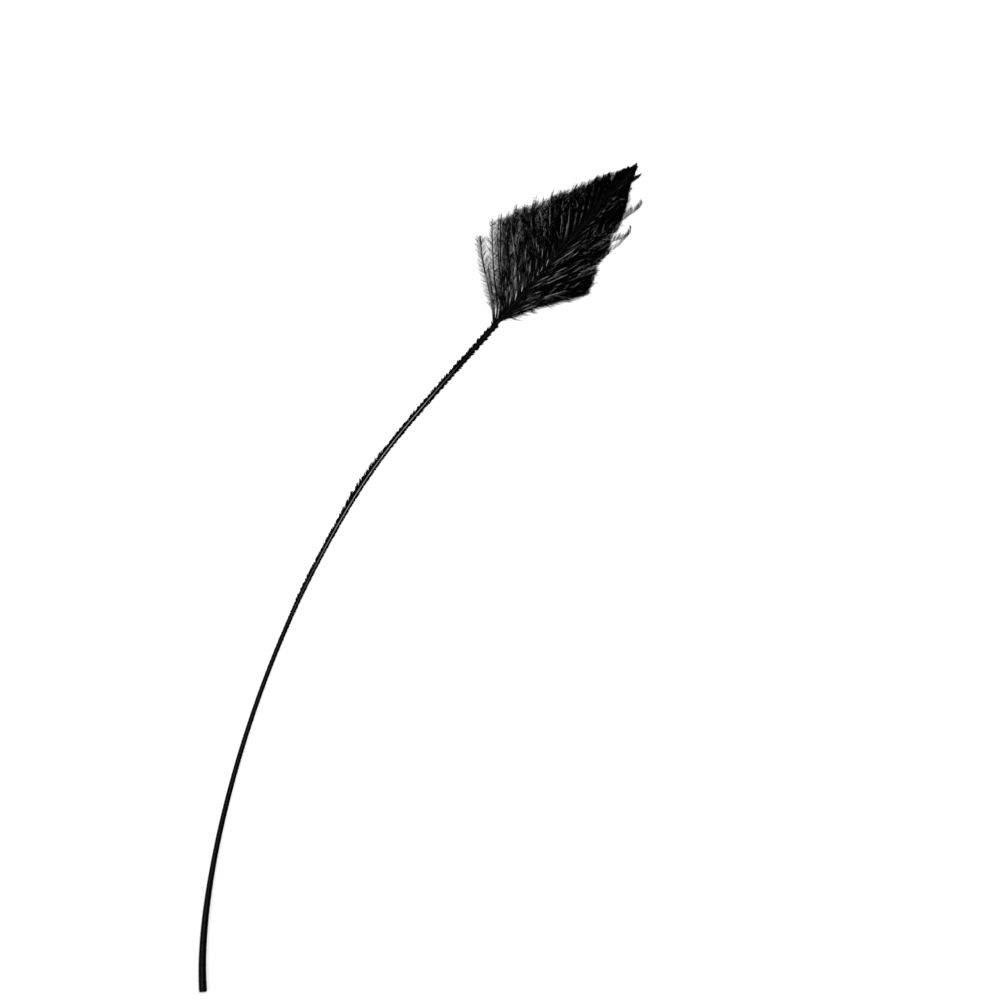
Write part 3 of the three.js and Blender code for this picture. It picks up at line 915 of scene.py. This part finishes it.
class FEATHER_OT_leave_stubs(bpy.types.Operator):
    """Leave the torn roots of the stripped barbs on both edges of the quill"""

    bl_idname = "feather.leave_stubs"
    bl_label = "Leave the stubs"

    PITCH = 0.56
    STRIPPED = 203.0  # how far below the vane the last stubs are
    SPLAY = (39.0, 5.0)  # mean and spread of the degrees between stub and shaft
    ROOT_DEPTH = 0.75  # where stubs start, in radii from the axis
    LOWEST = 0.3
    TAPER = np.array([1.0, 1.0, 0.9, 0.7, 0.42, 0.1])

    # By distance below the vane: the stubs' length as a part of the greatest, and how deep the teeth are cut.
    BOW_SIDE = [
        (0, 1.1),
        (45, 1.0),
        (58, 0.95),
        (68, 1.6),
        (84, 1.75),
        (93, 0.95),
        (120, 0.8),
        (132, 0.35),
        (205, 0.1),
    ]
    INNER_SIDE = [(0, 1.0), (30, 0.95), (45, 0.75), (60, 0.5), (130, 0.35), (180, 0.2), (205, 0.1)]
    BITE = [(0, 0.75), (40, 0.65), (70, 0.35)]

    def execute(self, context):
        settings = context.scene.feather
        rng = np.random.default_rng(5)
        shaft = Shaft()
        rows = [self.row(shaft, side, rng, settings) for side in (1, -1)]
        centres, widths, heights = (np.concatenate(parts) for parts in zip(*rows))
        shape = fibres(centres, widths, heights, 6)
        add_piece("quill_stubs", shape, barb_material(settings), np.zeros(len(shape[0])))
        return {"FINISHED"}

    def row(self, shaft, side, rng, settings):
        """One edge's stubs: blades that leave the shaft's flank, lean to the tip and end torn.

        Their length follows a saw wave, a tooth every few stubs, times the table and a random part.
        """
        table = self.BOW_SIDE if side > 0 else self.INNER_SIDE
        below = np.arange(0.0, self.STRIPPED, self.PITCH)
        count = len(below)
        tooth = np.cumsum(rng.uniform(0.14, 0.4, count)) % 1.0
        place = VANE_START - (below + rng.uniform(0.0, 0.4, count)) / shaft.length
        bite = read_curve(self.BITE, below)
        length = read_curve(table, below) * settings.stub_length / MM * (1.0 + bite * (tooth - 0.6))
        length *= rng.uniform(0.85, 1.15, count)
        heading = shaft.heading(place) + side * np.radians(rng.normal(*self.SPLAY, count))
        flank = shaft.heading(place) + side * np.pi / 2
        out = np.stack([np.cos(flank), np.sin(flank), np.full(count, 0.1)], axis=-1)
        start = shaft.point(place) + out * (shaft.radius(place) * self.ROOT_DEPTH)[:, None]
        lean = np.stack([np.cos(heading), np.sin(heading), rng.normal(-0.05, 0.12, count)], axis=-1)
        part = np.linspace(0.0, 1.0, len(self.TAPER))
        centres = start[:, None] + lean[:, None] * (length[:, None] * part)[..., None]
        centres[..., 2] = np.maximum(centres[..., 2], self.LOWEST)
        width = rng.uniform(0.22, 0.34, (count, 1)) * np.minimum(1.0, 0.35 + length[:, None]) * self.TAPER
        height = np.minimum(rng.uniform(0.24, 0.38, (count, 1)) * self.TAPER, centres[..., 2] - FLOOR_GAP)
        return centres, width, height


class FEATHER_OT_grow_barbs(bpy.types.Operator):
    """Grow the barbs of both sides and trim them to the arrowhead"""

    bl_idname = "feather.grow_barbs"
    bl_label = "Grow the barbs"

    def execute(self, context):
        settings = context.scene.feather
        shaft = Shaft()
        material = barb_material(settings)
        for name, side, seed in (("bow_side_barbs", 1, 31), ("inner_side_barbs", -1, 33)):
            rng = np.random.default_rng(seed)
            shape, tone = barb_shape(grown_barbs(shaft, settings, side), settings, rng)
            add_piece(name, shape, material, tone)
        return {"FINISHED"}


class FEATHER_OT_grow_barbules(bpy.types.Operator):
    """Grow the barbules that feather out from both edges of every barb"""

    bl_idname = "feather.grow_barbules"
    bl_label = "Grow the barbules"

    # Piece, side, layers that share the barbules, and the seed of their random draws.
    SIDES = (("bow_side_barbules", 1, 3, 41), ("inner_side_barbules", -1, 2, 43))

    def execute(self, context):
        settings = context.scene.feather
        shaft = Shaft()
        material = barbule_material(settings)
        for name, side, layers, seed in self.SIDES:
            barbs = grown_barbs(shaft, settings, side)
            rng = np.random.default_rng(seed)
            growth = growth_of(barbs, rng)
            spacing = settings.barbule_spacing / MM * layers
            for layer in range(layers):
                shape, tone = Barbules(barbs, growth, settings, rng, spacing).shape(settings, rng)
                add_piece(f"{name}_{layer + 1}", shape, material, tone)
        return {"FINISHED"}


class FEATHER_OT_set_stage(bpy.types.Operator):
    """Set the pale floor, the soft studio light and the camera that looks down"""

    bl_idname = "feather.set_stage"
    bl_label = "Set the stage"

    FLOOR_REACH = 4.0
    # Name, place, size and share of the power.
    LAMPS = (("key_light", (0.25, -0.07, 1.1), 0.6, 1.0), ("fill_light", (-0.6, 0.9, 1.2), 1.2, 0.8))
    CHORD_LEAN = 62.31  # degrees between the picture's level and the line from cut end to tip
    CUT_END_IN_FRAME = (-0.2965, -0.4908)  # from the picture's middle, in widths of the picture

    def execute(self, context):
        stage = context.scene.feather_stage
        self.lay_floor(context, stage)
        self.light(context, stage)
        self.aim(context, stage)
        return {"FINISHED"}

    def lay_floor(self, context, stage):
        far = self.FLOOR_REACH
        corners = [(-far, -far, 0), (far, -far, 0), (far, far, 0), (-far, far, 0)]
        mesh = bpy.data.meshes.new("floor")
        mesh.from_pydata(corners, [], [(0, 1, 2, 3)])
        material = bpy.data.materials.new("floor_paper")
        material.use_nodes = True
        paper = material.node_tree.nodes["Principled BSDF"]
        paper.inputs["Base Color"].default_value = (*stage.floor_colour, 1.0)
        paper.inputs["Roughness"].default_value = 0.9
        paper.inputs["Specular IOR Level"].default_value = 0.1
        mesh.materials.append(material)
        floor = bpy.data.objects.new("floor", mesh)
        context.scene.collection.objects.link(floor)

    def light(self, context, stage):
        world = bpy.data.worlds.new("studio")
        world.use_nodes = True
        sky = world.node_tree.nodes["Background"]
        sky.inputs["Color"].default_value = (1.0, 1.0, 1.0, 1.0)
        sky.inputs["Strength"].default_value = stage.sky
        context.scene.world = world
        context.scene.view_settings.view_transform = "Standard"
        for name, place, size, share in self.LAMPS:
            lamp = bpy.data.lights.new(name, "AREA")
            lamp.energy = stage.key_power * share
            lamp.size = size
            holder = bpy.data.objects.new(name, lamp)
            holder.location = place
            holder.rotation_euler = (-Vector(place)).to_track_quat("-Z", "Y").to_euler()
            context.scene.collection.objects.link(holder)

    def aim(self, context, stage):
        """The camera stands over the middle of the picture, where its lens takes in the frame's width."""
        lens = bpy.data.cameras.new("camera")
        lens.lens = stage.lens
        lens.sensor_width = 36.0
        lean = np.radians(self.CHORD_LEAN)
        right = np.array([np.cos(lean), -np.sin(lean)])
        upward = np.array([np.sin(lean), np.cos(lean)])
        from_middle = np.array(self.CUT_END_IN_FRAME) * stage.frame_width
        centre = cut_end_of_node() * MM - right * from_middle[0] - upward * from_middle[1]
        height = stage.frame_width * stage.lens / lens.sensor_width
        camera = bpy.data.objects.new("camera", lens)
        camera.matrix_world = Matrix.Translation((*centre, height)) @ Matrix.Rotation(-lean, 4, "Z")
        context.scene.collection.objects.link(camera)
        context.scene.camera = camera


class FEATHER_PT_panel(bpy.types.Panel):
    """Lists the feather's sizes and steps"""

    bl_idname = "FEATHER_PT_panel"
    bl_label = "Ostrich feather"
    bl_space_type = "VIEW_3D"
    bl_region_type = "UI"
    bl_category = "Feather"

    def draw(self, context):
        for group in (context.scene.feather, context.scene.feather_stage):
            column = self.layout.column()
            for key in group.__annotations__:
                column.prop(group, key)
        for operator in OPERATORS:
            self.layout.operator(operator.bl_idname)


OPERATORS = (
    FEATHER_OT_shape_quill,
    FEATHER_OT_leave_stubs,
    FEATHER_OT_grow_barbs,
    FEATHER_OT_grow_barbules,
    FEATHER_OT_set_stage,
)
CLASSES = (FeatherSettings, StageSettings, *OPERATORS, FEATHER_PT_panel)


def register():
    for cls in CLASSES:
        bpy.utils.register_class(cls)
    bpy.types.Scene.feather = PointerProperty(type=FeatherSettings)
    bpy.types.Scene.feather_stage = PointerProperty(type=StageSettings)


def unregister():
    del bpy.types.Scene.feather_stage
    del bpy.types.Scene.feather
    for cls in reversed(CLASSES):
        bpy.utils.unregister_class(cls)


def main():
    register()
    bpy.ops.feather.shape_quill()
    bpy.ops.feather.leave_stubs()
    bpy.ops.feather.grow_barbs()
    bpy.ops.feather.grow_barbules()
    bpy.ops.feather.set_stage()


if __name__ == "__main__":
    main()
